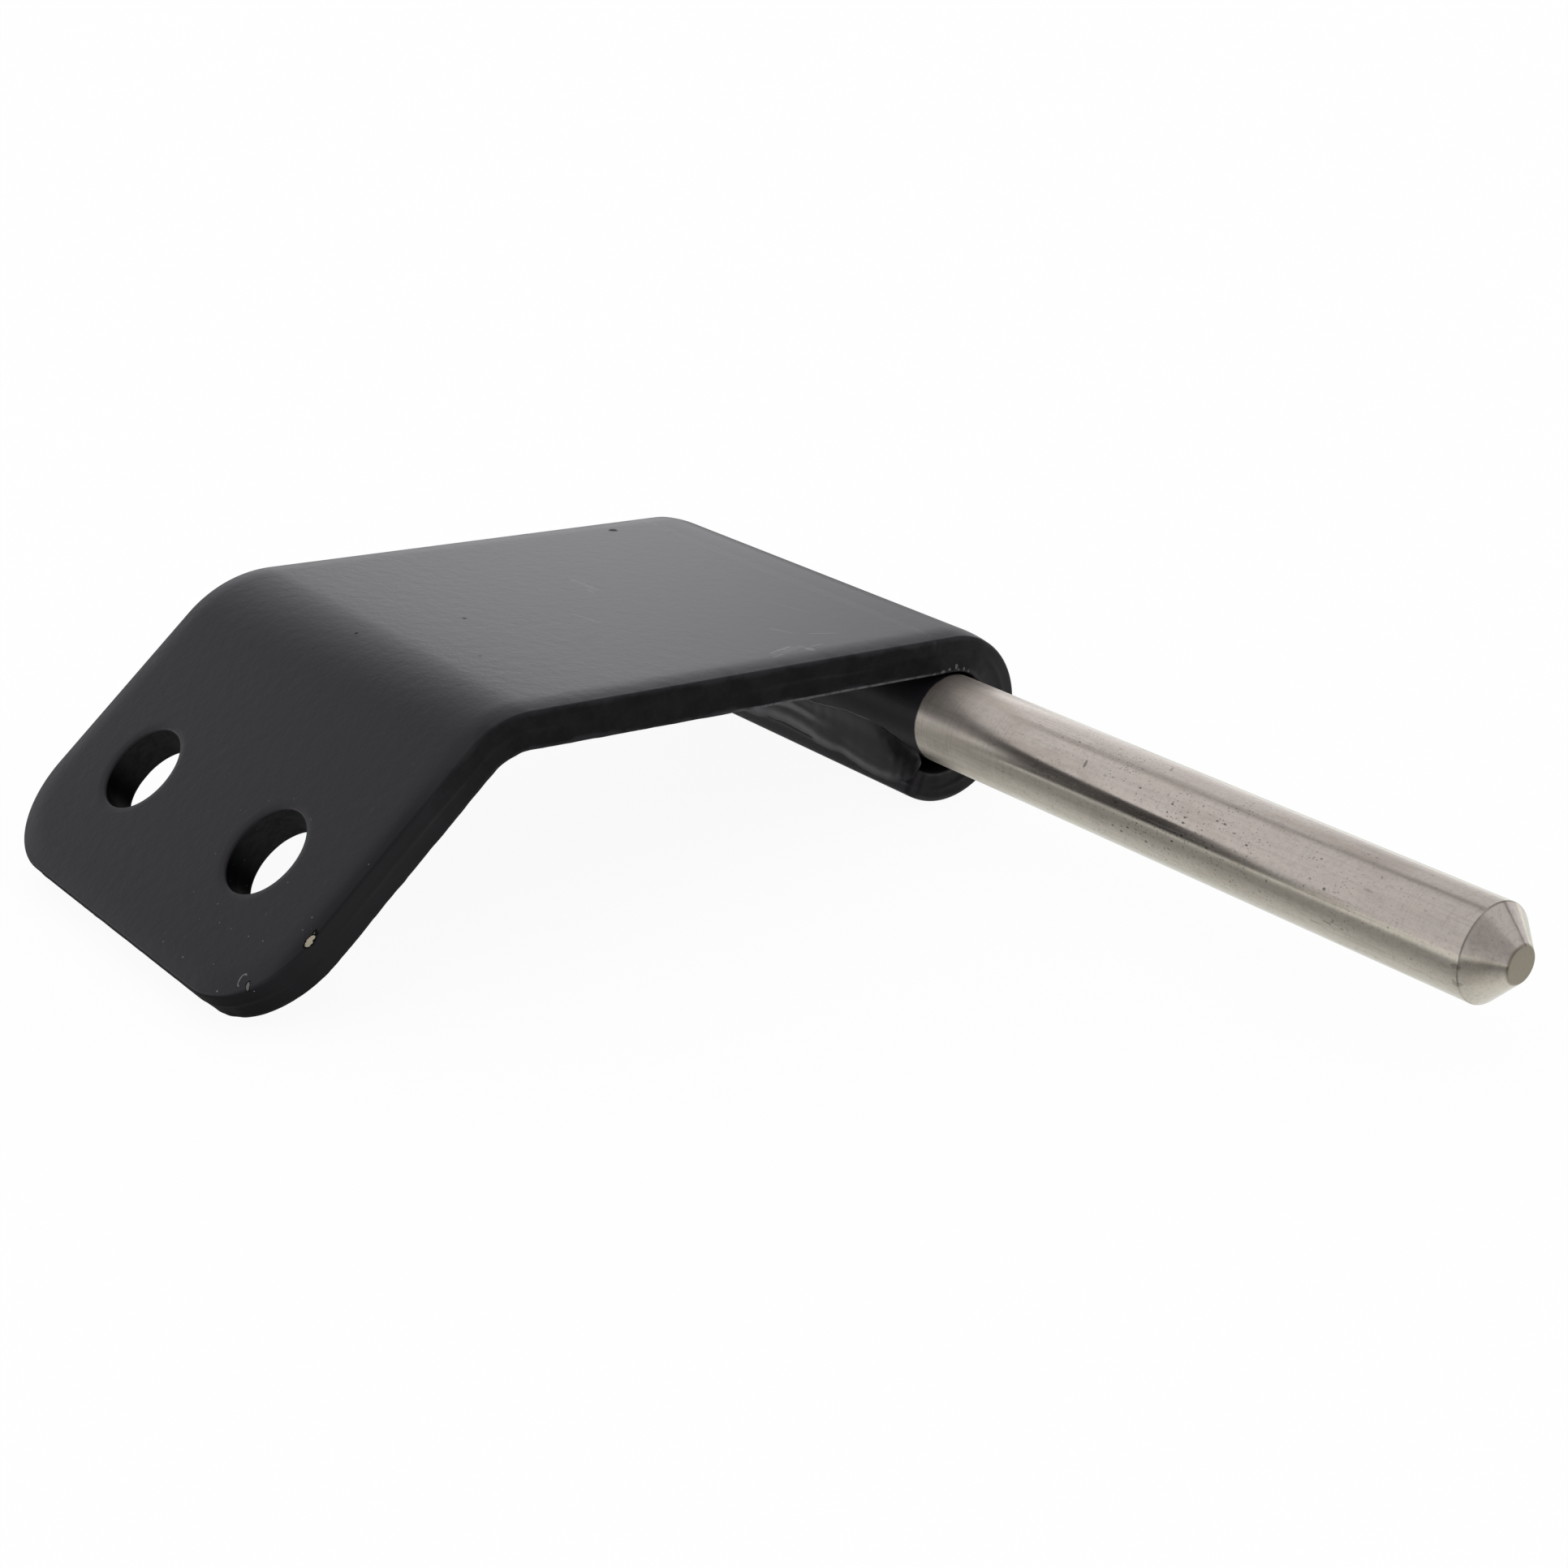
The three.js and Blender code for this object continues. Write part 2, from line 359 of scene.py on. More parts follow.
def inside_outline(across, along, margin, hole_margin):
    """Whether a flat point is far enough inside the outline and clear of both holes."""
    if not (margin < across < STRIP_WIDTH - margin and margin < along < STRIP_LENGTH - margin):
        return False
    radius = FLANGE_CORNER_RADIUS
    if along < radius:
        past = max(radius - across, across - (STRIP_WIDTH - radius), 0.0)
        if past > 0 and math.hypot(past, radius - along) > radius - margin:
            return False
    for centre_x in hole_centres():
        if math.hypot(across - centre_x, along - HOLE_ALONG) < HOLE_RADIUS + hole_margin:
            return False
    return True


def hole_centres():
    """Where the two bolt holes are across the strip."""
    return (HOLE_PAIR_X - HOLE_SPACING / 2, HOLE_PAIR_X + HOLE_SPACING / 2)


def encloses(loop, point):
    """Whether a flat point lies inside a closed loop of points."""
    inside = False
    for here, following in zip(loop, loop[1:] + loop[:1]):
        if (here.y > point.y) != (following.y > point.y):
            crossing = here.x + (point.y - here.y) / (following.y - here.y) * (following.x - here.x)
            inside ^= crossing > point.x
    return inside


def add_face(builder, flat, loops, share, flip, margins):
    """Fills one face of the strip between the edges of its rims with a regular net of points."""
    vertices, edges = [], []
    for loop in loops:
        first = len(vertices)
        vertices += loop
        edges += [(first + i, first + (i + 1) % len(loop)) for i in range(len(loop))]
    for along in face_stations():
        for across in steps(0, STRIP_WIDTH, FACE_STEP):
            if inside_outline(across, along, *margins):
                vertex = builder.verts.new(strip_point(across, along, share))
                flat[vertex] = (across, along, share)
                vertices.append(vertex)
    points = [Vector(flat[vertex][:2]) for vertex in vertices]
    inside_only, closest = 1, 1e-6
    net, _, triangles, origins, *_ = delaunay_2d_cdt(points, edges, [], inside_only, closest)
    sources = [vertices[ids[0]] if ids else None for ids in origins]
    holes = [[Vector(flat[vertex][:2]) for vertex in loop] for loop in loops[1:]]
    faces = []
    for triangle in triangles:
        middle = sum((net[i] for i in triangle), Vector((0, 0))) / 3
        if any(encloses(hole, middle) for hole in holes):
            continue
        corners = [sources[i] for i in triangle]
        faces.append(builder.faces.new(reversed(corners) if flip else corners))
    bmesh.ops.join_triangles(
        builder, faces=faces, angle_face_threshold=0.2, angle_shape_threshold=0.7, cmp_seam=False
    )


def bracket(material):
    """The painted strip, with its bolt holes and cut edges. Each vertex keeps its place on the flat strip."""
    builder = bmesh.new()
    flat_layer = builder.loops.layers.uv.new("flat_strip")
    depth_layer = builder.verts.layers.float.new("depth_share")
    flat = {}
    outer_loops, inner_loops = [], []
    rims = [(strip_outline(), 1, 1.0, EDGE_ROLL)]
    rims += [(hole_outline(x), 7 + x, 0.25, HOLE_ROLL) for x in hole_centres()]
    for points, seed, rough, roll in rims:
        outer, inner = add_rim(builder, flat, points, seed, rough, roll)
        outer_loops.append(outer)
        inner_loops.append(inner)
    gap = 0.55 * FACE_STEP
    outer_margins = (OUTER_EDGE_RADIUS + EDGE_ROLL[0] + gap, OUTER_EDGE_RADIUS + HOLE_ROLL[0] + gap)
    inner_margins = (INNER_EDGE_RADIUS + gap, INNER_EDGE_RADIUS + gap)
    add_face(builder, flat, outer_loops, 0.0, False, outer_margins)
    add_face(builder, flat, inner_loops, 1.0, True, inner_margins)
    for vertex in builder.verts:
        vertex[depth_layer] = flat[vertex][2]
    for face in builder.faces:
        for loop in face.loops:
            loop[flat_layer].uv = flat[loop.vert][:2]
    return mesh_object("bracket_strip", builder, material)


# ---- Pin ----


def rounded(corners, radius):
    """Rounds the inner corners of a profile of (along, out) pairs, with a point beside each round."""
    aside, steps_around = 1.6, 4
    points = [corners[0]]
    for before, here, after in zip(corners, corners[1:], corners[2:]):
        here = Vector(here)
        back = (Vector(before) - here).normalized() * radius
        ahead = (Vector(after) - here).normalized() * radius
        points.append(here + back * aside)
        for i in range(steps_around + 1):
            share = i / steps_around
            points.append(here + back * (1 - share) ** 2 + ahead * share**2)
        points.append(here + ahead * aside)
    return points + [corners[-1]]


def pin(material):
    """The round pin, turned about its axis, with a long chamfer at its free end."""
    radius, length = PIN_RADIUS, PIN_LENGTH
    corners = [(0, PIN_CENTRE_RADIUS), (0, radius - TAIL_CHAMFER), (TAIL_CHAMFER, radius)]
    corners += [(length - TIP_CHAMFER, radius), (length, radius - TIP_CHAMFER), (length, PIN_CENTRE_RADIUS)]
    profile = rounded(corners, PIN_EDGE_RADIUS)
    builder = bmesh.new()
    rows = []
    for along, out in profile:
        row = []
        for i in range(PIN_SIDES):
            angle = 2 * math.pi * i / PIN_SIDES
            y = HOOK_CENTRE_Y + out * math.cos(angle)
            z = HOOK_CENTRE_Z + out * math.sin(angle)
            row.append(builder.verts.new((along, y, z)))
        rows.append(row)
    join_rows(builder, rows)
    for row, along in ((rows[0], 0), (rows[-1], length)):
        middle = builder.verts.new((along, HOOK_CENTRE_Y, HOOK_CENTRE_Z))
        for i in range(PIN_SIDES):
            builder.faces.new((row[i], row[(i + 1) % PIN_SIDES], middle))
    return mesh_object("round_pin", builder, material)


# ---- Weld ----

# The bead, across the strip from its far side: where its upper toe lies on the pin, in degrees, and how far
# below the pin's axis its slope turns down onto the lip's end face.
WELD_STATIONS = (
    (0.8, -146, 6.35),
    (12, -143, 5.85),
    (22, -140, 6.55),
    (27, -140, 6.45),
    (29.5, -141, 6),
    (32, -142, 5.85),
    (34, -143, 5.9),
    (36, -145, 6.05),
    (38, -150, 6.35),
    (40, -155, 6.35),
    (42, -159, 6.25),
    (44, -160, 6.45),
    (46, -161, 6.65),
    (48, -159, 6.75),
    (50, -152, 6.7),
    (51.4, -145, 6.45),
    (52.4, -139, 5.95),
    (53.5, -134, 5.35),
)
WELD_START = WELD_STATIONS[0][0]
WELD_END = WELD_STATIONS[-1][0]
WELD_STEP = 0.35

# Points on the slope and on the turn, how far the turn's curve reaches to each side, how far it stands proud
# of the lip's end face, how far the toe is sunk into the pin, how much the slope is hollowed, and over what
# length the ends are rounded
WELD_POINTS = 10
WELD_TURN = 0.82
WELD_PROUD = 0.10
WELD_SINK = 0.04
WELD_HOLLOW = 0.16
WELD_END_LENGTH = 0.9

# Hidden points, from the pin's axis: behind the lip's face, and the root that the ends shrink to
WELD_BEHIND_LIP = Vector((-2.6, -4.75))
WELD_ROOT = Vector((-3.3, -4.7))


def between_stations(across, column):
    """One column of the weld's stations, softly joined up."""
    for low, high in zip(WELD_STATIONS, WELD_STATIONS[1:]):
        if across <= high[0]:
            share = smooth(across, low[0], high[0])
            return low[column] + (high[column] - low[column]) * share
    return WELD_STATIONS[-1][column]


def lip_face_y(z):
    """Where the lip's end face is, at a height from the pin's axis."""
    inner = hook_inner_radius(LIP_INNER_ANGLE)
    inner_y, inner_z = inner * math.cos(LIP_INNER_ANGLE), inner * math.sin(LIP_INNER_ANGLE)
    outer_y = HOOK_OUTER_RADIUS * math.cos(LIP_OUTER_ANGLE)
    outer_z = HOOK_OUTER_RADIUS * math.sin(LIP_OUTER_ANGLE)
    return inner_y + (z - inner_z) / (outer_z - inner_z) * (outer_y - inner_y)


def weld_section(across):
    """The bead's cross-section about the pin's axis: a fillet from the pin to the lip, and back inside."""
    end_distance = min(across - WELD_START, WELD_END - across)
    full = math.sqrt(max(0.0, 1 - (1 - min(end_distance / WELD_END_LENGTH, 1.0)) ** 2))
    angle = math.radians(between_stations(across, 1) + 1.2 * wander(11, across / 2.4))
    turn_z = 0.05 * wander(12, across / 1.9) - between_stations(across, 2)
    out = Vector((math.cos(angle), math.sin(angle)))
    toe = out * (PIN_RADIUS - WELD_SINK)
    face = Vector((lip_face_y(-8) - lip_face_y(-7), -1)).normalized()
    proud = Vector((face.y, -face.x))
    turn = Vector((lip_face_y(turn_z), turn_z)) + proud * WELD_PROUD
    upper = turn + (toe - turn).normalized() * WELD_TURN
    low = turn + face * WELD_TURN - proud * 0.03
    points = []
    for i in range(WELD_POINTS):
        share = i / WELD_POINTS
        lumps = 0.03 * wander(13, across / 3.0, share * 1.5) + 0.008 * wander(14, across / 0.9, share * 4)
        hollow = Vector((WELD_HOLLOW - lumps, 0)) * math.sin(math.pi * share) ** 2
        points.append(toe.lerp(upper, share) + hollow)
    for i in range(WELD_POINTS + 1):
        share = i / WELD_POINTS
        points.append(upper * (1 - share) ** 2 + turn * 2 * share * (1 - share) + low * share**2)
    behind_toe = out * (PIN_RADIUS - 0.4)
    points += [low - proud * 0.35, WELD_BEHIND_LIP, behind_toe]
    return [WELD_ROOT.lerp(point, 0.35 + 0.65 * full) for point in points]


def weld_bead(material):
    """The fillet weld between the pin and the lip's end face."""
    builder = bmesh.new()
    rows = []
    count = round((WELD_END - WELD_START) / WELD_STEP)
    for i in range(count + 1):
        across = WELD_START + (WELD_END - WELD_START) * i / count
        row = []
        for point in weld_section(across):
            row.append(builder.verts.new((across, HOOK_CENTRE_Y + point.x, HOOK_CENTRE_Z + point.y)))
        rows.append(row)
    join_rows(builder, rows)
    builder.faces.new(rows[0])
    builder.faces.new(rows[-1])
    return mesh_object("fillet_weld", builder, material)


# ---- Materials ----

PAINT_COLOUR = (0.0200, 0.0170, 0.0212)
PAINT_DEEP = (0.008, 0.008, 0.0092)
HOLE_PAINTED_SHADE = (0.0006, 0.0006, 0.0007)
HOLE_PAINTED_LIGHT = (0.032, 0.032, 0.033)
RUBBED_AND_SHEEN_COLOUR = (0.55, 0.55, 0.56)
DUST_COLOUR = (0.6, 0.6, 0.6)
PAINTED_GLINT_COLOUR = (0.19, 0.19, 0.20)
CHIP_IVORY = (0.62, 0.55, 0.42)
CHIP_GREY = (0.30, 0.30, 0.29)
CHIP_RIM_SHADE = (0.004, 0.004, 0.004)
BARE_COLOUR = (0.70, 0.625, 0.555)
STAINED_COLOUR = (0.48, 0.41, 0.335)
STREAK_COLOUR = (0.44, 0.405, 0.365)
PIT_COLOUR = (0.10, 0.09, 0.075)
TIP_COLOUR = (0.27, 0.23, 0.18)
CHAMFER_SHADE_COLOUR = (0.08, 0.07, 0.06)
WHITE = (1.0, 1.0, 1.0)


class Shader:
    """Builds one node tree. Apart from put() and add(), its methods return the socket that comes out.

    A material sets the flat map before it places marks with spot().
    """

    def __init__(self, tree):
        self.tree = tree
        self.flat = None
        tree.nodes.clear()

    def put(self, socket, value):
        if isinstance(value, bpy.types.NodeSocket):
            self.tree.links.new(value, socket)
        elif isinstance(value, tuple) and socket.type == "RGBA" and len(value) == 3:
            socket.default_value = (*value, 1.0)
        else:
            socket.default_value = value

    def add(self, kind, sockets=(), **settings):
        node = self.tree.nodes.new(kind)
        for name, value in settings.items():
            setattr(node, name, value)
        for name, value in dict(sockets).items():
            self.put(node.inputs[name], value)
        return node

    def math(self, operation, first, second=0.0):
        return self.add("ShaderNodeMath", {0: first, 1: second}, operation=operation).outputs[0]

    def product(self, first, second):
        return self.math("MULTIPLY", first, second)

    def total(self, first, second):
        return self.math("ADD", first, second)

    def larger(self, first, second):
        return self.math("MAXIMUM", first, second)

    def split(self, vector):
        return self.add("ShaderNodeSeparateXYZ", {"Vector": vector}).outputs

    def join(self, x, y, z):
        return self.add("ShaderNodeCombineXYZ", {"X": x, "Y": y, "Z": z}).outputs[0]

    def length(self, vector):
        return self.add("ShaderNodeVectorMath", {0: vector}, operation="LENGTH").outputs["Value"]

    def position(self):
        return self.add("ShaderNodeTexCoord").outputs["Object"]

    def camera_ray(self):
        return self.add("ShaderNodeLightPath").outputs["Is Camera Ray"]

    def stretch(self, vector, scale, place=(0, 0, 0), turn=0.0):
        """The vector after it is scaled, turned about Z and moved."""
        sockets = {"Vector": vector, "Scale": scale, "Rotation": (0, 0, turn), "Location": place}
        return self.add("ShaderNodeMapping", sockets).outputs[0]

    def oval(self, position, drawn, size, turn):
        """The distance from a drawn place, as a share of a turned oval's half sizes."""
        sockets = {"Vector": position, "Location": TO_SCENE @ drawn, "Rotation": turn}
        sockets["Scale"] = tuple(value * MM for value in size)
        return self.length(self.add("ShaderNodeMapping", sockets, vector_type="TEXTURE").outputs[0])

    def noise(self, vector, scale, detail=2.0, roughness=0.5):
        sockets = {"Vector": vector, "Scale": scale, "Detail": detail, "Roughness": roughness}
        return self.add("ShaderNodeTexNoise", sockets).outputs["Fac"]

    def ramp(self, value, low, high, first=0.0, last=1.0):
        """Turns low..high into first..last with soft ends."""
        sockets = {"Value": value, "From Min": low, "From Max": high, "To Min": first, "To Max": last}
        return self.add("ShaderNodeMapRange", sockets, interpolation_type="SMOOTHSTEP").outputs[0]

    def blend(self, factor, first, second):
        """A mix of two numbers."""
        return self.add("ShaderNodeMix", {0: factor, 2: first, 3: second}, data_type="FLOAT").outputs[0]

    def mix(self, factor, first, second):
        """A mix of two colours."""
        return self.add("ShaderNodeMix", {0: factor, 6: first, 7: second}, data_type="RGBA").outputs[2]

    def matt(self, colour):
        return self.add("ShaderNodeBsdfDiffuse", {"Color": colour}).outputs[0]

    def principled(self, **sockets):
        """The general surface. An underscore in a socket's name stands for a space."""
        names = {name.replace("_", " "): value for name, value in sockets.items()}
        return self.add("ShaderNodeBsdfPrincipled", names).outputs[0]

    def over(self, factor, below, above):
        """One surface over another, as far as the factor says."""
        return self.add("ShaderNodeMixShader", {0: factor, 1: below, 2: above}).outputs[0]

    def bump(self, height, distance, strength=1.0, normal=None):
        sockets = {"Height": height, "Distance": distance, "Strength": strength}
        if normal is not None:
            sockets["Normal"] = normal
        return self.add("ShaderNodeBump", sockets).outputs[0]

    def spot(self, place, size, turn, edge, seed):
        """A mark on the flat map: 1 inside an uneven oval of that size, 0 outside."""
        centred = self.stretch(self.flat, (1, 1, 1), (-place[0], -place[1], 0))
        if turn:
            centred = self.stretch(centred, (1, 1, 1), turn=-turn)
        length = self.length(self.stretch(centred, (1 / size[0], 1 / size[1], 1)))
        shaken = self.noise(self.stretch(self.flat, (1, 1, 1), (seed * 7.1, seed * 3.3, 0)), 1.6, 3.0, 0.7)
        uneven = self.total(length, self.ramp(shaken, 0.25, 0.75, -edge, edge))
        return self.ramp(uneven, 0.75, 1.1, 1.0, 0.0)


def material(name, build):
    """A material whose surface is made by build(shader)."""
    made = bpy.data.materials.new(name)
    made.use_nodes = True
    shader = Shader(made.node_tree)
    surface = build(shader)
    shader.add("ShaderNodeOutputMaterial", {"Surface": surface})
    return made


def orange_peel(shader, position, strength=1.0, normal=None):
    """The fine unevenness of a powder coat, as a normal."""
    fine = shader.noise(position, 2300.0, 2.0, 0.6)
    broad = shader.noise(position, 700.0, 1.0, 0.5)
    height = shader.total(shader.product(fine, 0.45), shader.product(broad, 0.7))
    return shader.bump(height, 0.00003, strength, normal)


def sunk_bend(shader, along):
    """The plate dips a little before it bends, as a normal."""
    reach, slope, bend = 4.0, 0.07, BEND_END - BEND_START
    beyond = shader.larger(shader.total(along, -BEND_END), 0.0)
    dip = shader.math("EXPONENT", shader.product(beyond, -1 / reach))
    within = shader.math("MINIMUM", shader.total(along, -BEND_END), 0.0)
    within = shader.larger(within, -bend)
    fall = shader.product(within, shader.total(shader.product(within, 0.5 / bend), 1.0))
    height = shader.total(shader.product(dip, -slope * reach), shader.product(fall, slope))
    return shader.bump(height, MM)


def paint(shader, position, thin_paint_and_shade, gloss=0.25, roughness=0.4, strength=1.0, normal=None):
    """Satin black paint. Where the darkening factor is 1 it is dull and darker; this stands for thin paint on
    the cut faces and for painted shade.
    """
    return shader.principled(
        Base_Color=shader.mix(thin_paint_and_shade, PAINT_COLOUR, PAINT_DEEP),
        Roughness=shader.blend(thin_paint_and_shade, roughness, 0.5),
        Specular_IOR_Level=shader.blend(thin_paint_and_shade, gloss, 0.1),
        Normal=orange_peel(shader, position, strength, normal),
    )


def dots(shader, position, scale, size, chosen):
    """Small round dots strewn at random: scale is how many fit in a metre, chosen the share that shows."""
    cells = shader.add("ShaderNodeTexVoronoi", {"Vector": position, "Scale": scale})
    near = shader.ramp(cells.outputs["Distance"], size * 0.6, size, 1.0, 0.0)
    lucky = shader.split(cells.outputs["Color"])[0]
    return shader.product(near, shader.ramp(lucky, 1 - chosen, 1 - chosen + 0.01))


# Between these places along the strip its cut faces turn from less dark, on the flange, to dark, under the
# top: painted light on the flange, painted shade under the top
PAINTED_LIGHT_END, PAINTED_SHADE_START = 22.0, 34.0

# Scuffs on the outer face, the last one a painted highlight streak before the hook: where (across, along),
# half their size, their turn and their strength
SCUFFS_AND_SHEEN = (
    ((21.5, 67.3), (2.9, 0.42), 0.05, 0.17),
    ((23.6, 66.6), (1.1, 0.22), -0.3, 0.12),
    ((50.2, 72.9), (0.5, 2.1), 0.22, 0.13),
    ((49.8, 71.9), (0.24, 1.9), 0.28, 0.26),
    ((50.9, 74.6), (0.7, 0.42), 0.4, 0.26),
    ((50.3, 75.9), (0.16, 1.1), 0.1, 0.16),
    ((51.3, 70.4), (0.18, 0.9), 0.2, 0.16),
    ((47.3, 79.2), (0.16, 1.9), -0.4, 0.11),
    ((44.8, 76.0), (1.8, 0.24), 0.4, 0.06),
    ((38.0, 82.0), (3.2, 0.16), 0.25, 0.05),
    ((32.0, 60.5), (2.2, 0.18), 0.2, 0.05),
    # A painted highlight: a pale streak across the whole top plate just before the hook's bend.
    ((27.0, 88.9), (27.5, 0.85), 0.0, 0.045),
)

# Dark specks: where, and their radius, which also seeds their shape
DARK_SPECKS = (((26.5, 49.3), 0.24), ((25.1, 37.6), 0.22), ((3.9, 83.1), 0.55), ((38.0, 44.0), 0.14))

# Weld spatter on the near cut face above the pin: (distance from the hook's start, depth), radius
SPATTER = (
    ((-2.7, 3.95), 0.22),
    ((-1.5, 3.85), 0.26),
    ((-0.6, 3.70), 0.18),
    ((0.6, 3.50), 0.30),
    ((1.2, 3.85), 0.20),
    ((2.4, 3.75), 0.24),
    ((3.6, 3.85), 0.18),
)

# Chips by the flange's near corner: where (across, along), half their size, their turn, colour and strength
CHIPS = (
    ((STRIP_WIDTH - 0.2, 9.9), (0.36, 0.8, 0.4), 0.1, CHIP_IVORY, 0.85),
    ((STRIP_WIDTH - 3.0, 3.3), (0.22, 0.50, 0.3), 0.8, CHIP_GREY, 0.6),
)


def cut_paint_and_shade(shader, position, across, along, depth):
    """Where the paint is thin and dark on the cut faces, partly painted shade; less on the flange and the
    hook's crown, as painted light, and on the lip.
    """
    shaken = shader.ramp(shader.noise(position, 300.0, 3.0, 0.6), 0.3, 0.7, -0.05, 0.05)
    shaken = shader.total(depth, shaken)
    cut = shader.product(shader.ramp(shaken, 0.03, 0.20), shader.ramp(shaken, 0.86, 0.97, 1.0, 0.0))
    # The cut faces are less dark on the flange than under the top: painted light and painted shade.
    thin_paint_and_shade = shader.product(cut, shader.ramp(along, PAINTED_LIGHT_END, PAINTED_SHADE_START, 0.45, 1.0))
    mottled = shader.ramp(shader.noise(position, 420.0, 4.0, 0.65), 0.35, 0.65, 0.75, 1.0)
    thin_paint_and_shade = shader.product(thin_paint_and_shade, mottled)
    # The hook's crown is left lighter: painted light on its cut faces.
    crown_light = shader.product(shader.ramp(along, HOOK_START + 1, HOOK_START + 10), 0.6)
    crown_light = shader.product(crown_light, shader.ramp(along, HOOK_START + 15, HOOK_START + 25, 1.0, 0.0))
    thin_paint_and_shade = shader.product(thin_paint_and_shade, shader.blend(crown_light, 1.0, 0.0))

    # The rolled-over near edge of the flange is darker too, as painted shade.
    rolled = shader.product(shader.ramp(across, STRIP_WIDTH - 2.2, STRIP_WIDTH - 0.4), 0.55)
    rolled = shader.product(rolled, shader.ramp(along, PAINTED_LIGHT_END, PAINTED_SHADE_START, 1.0, 0.0))
    lip = shader.ramp(along, STRIP_LENGTH - 0.8, STRIP_LENGTH - 0.4, 1.0, 0.0)
    return shader.product(shader.larger(thin_paint_and_shade, rolled), lip)


def hole_walls(shader, across, along, depth, surface):
    """The walls of the bolt holes: painted shade, nearly black, with painted light and faint rings on the
    side towards the bend.
    """
    hole = 0.0
    for centre_x in hole_centres():
        centred = shader.stretch(shader.flat, (1, 1, 1), (-centre_x, -HOLE_ALONG, 0))
        near = shader.ramp(shader.length(centred), HOLE_RADIUS + 0.3, HOLE_RADIUS + 0.1, 0.0, 1.0)
        hole = shader.total(hole, near)
    # Painted light and shade: lit on the side towards the bend, dark towards the flange's end.
    painted_lit = shader.ramp(along, HOLE_ALONG - HOLE_RADIUS * 0.7, HOLE_ALONG + HOLE_RADIUS * 0.5)
    place = shader.join(shader.product(across, 0.1), shader.product(along, 0.1), depth)
    rings = shader.noise(place, 9.0, 3.0, 0.7)
    painted_lit = shader.product(painted_lit, shader.ramp(rings, 0.35, 0.62, 0.7, 1.0))
    wall = shader.principled(
        Base_Color=shader.mix(painted_lit, HOLE_PAINTED_SHADE, HOLE_PAINTED_LIGHT),
        Roughness=0.45,
        Specular_IOR_Level=shader.blend(painted_lit, 0.03, 0.16),
    )
    return shader.over(shader.product(hole, shader.ramp(depth, 0.04, 0.12)), surface, wall)


def scuffs_and_sheen(shader, depth, surface):
    """Pale scuffs, a painted highlight streak and a few dark specks on the outer face."""
    outer = shader.ramp(depth, 0.0, 0.5, 1.0, 0.0)
    scuff_and_sheen = 0.0
    for seed, (place, size, turn, strength) in enumerate(SCUFFS_AND_SHEEN):
        mark = shader.spot(place, size, turn, 0.35, seed)
        scuff_and_sheen = shader.total(scuff_and_sheen, shader.product(mark, strength))
    surface = shader.over(shader.product(scuff_and_sheen, outer), surface, shader.matt(RUBBED_AND_SHEEN_COLOUR))
    speck = 0.0
    for place, radius in DARK_SPECKS:
        speck = shader.total(speck, shader.spot(place, (radius, radius), 0.0, 0.2, radius))
    speck = shader.product(speck, shader.product(outer, 0.75))
    return shader.over(speck, surface, shader.matt(PAINT_DEEP))


def dust(shader, position, across, along, surface):
    """Fine pale dust, thickest towards the flange's near corner."""
    worn = shader.product(shader.ramp(along, 26.0, 4.0), shader.ramp(across, 26.0, 50.0))
    fine = dots(shader, position, 1400.0, 0.10, 0.16)
    grains = shader.larger(dots(shader, position, 700.0, 0.07, 0.3), fine)
    grains = shader.product(grains, shader.total(shader.product(worn, 0.5), 0.05))
    return shader.over(grains, surface, shader.matt(DUST_COLOUR))


def burr_and_spatter_glints(shader, across, along, depth, surface):
    """The burr along the lower near edge and a few grains of spatter above the pin get painted highlights: a
    pale colour stands for the light they catch.
    """
    # Painted highlights: a pale matt colour stands for the glints on the burr and the spatter.
    pale = shader.matt(PAINTED_GLINT_COLOUR)
    edge = shader.product(shader.ramp(depth, 0.915, 0.945), shader.ramp(depth, 0.990, 0.999, 1.0, 0.0))
    edge = shader.product(edge, shader.ramp(along, HOOK_START - 32, HOOK_START - 24))
    edge = shader.product(edge, shader.ramp(along, HOOK_START - 6, HOOK_START, 1.0, 0.0))
    broken = shader.ramp(shader.noise(shader.join(along, 0.0, 0.0), 0.9, 3.0, 0.6), 0.35, 0.6, 0.35, 0.9)
    surface = shader.over(shader.product(edge, broken), surface, pale)

    # The grains lie on the near cut face, so for them that face is the flat map.
    strip_map = shader.flat
    shader.flat = shader.join(along, shader.product(depth, STRIP_THICKNESS), 0.0)
    grains = 0.0
    for seed, ((past_start, down), radius) in enumerate(SPATTER):
        grain = shader.spot((HOOK_START + past_start, down), (radius, radius * 0.8), 0.0, 0.4, seed)
        grains = shader.total(grains, grain)
    shader.flat = strip_map
    near = shader.ramp(across, STRIP_WIDTH - 1.0, STRIP_WIDTH - 0.4, 0.0, 0.85)
    return shader.over(shader.product(grains, near), surface, pale)


def chips(shader, position, surface):
    """Where the paint has chipped off by the flange's near corner, down to the bare, pale steel."""
    slope = FLANGE_ANGLE - bench_slope()
    for (across, along), size, turn, colour, strength in CHIPS:
        length = shader.oval(position, strip_point(across, along, 0.04), size, (slope, 0, turn))
        shaken = shader.ramp(shader.noise(position, 1900.0, 3.0, 0.7), 0.3, 0.7, -0.35, 0.35)
        length = shader.total(length, shaken)
        # Painted shade: a near-black ring round each chip, where the paint's broken edge stands.
        surface = shader.over(shader.ramp(length, 1.15, 1.45, 0.85, 0.0), surface, shader.matt(CHIP_RIM_SHADE))
        bare = shader.principled(Base_Color=colour, Roughness=0.6, Metallic=0.3)
        surface = shader.over(shader.ramp(length, 0.85, 0.95, strength, 0.0), surface, bare)
    return surface


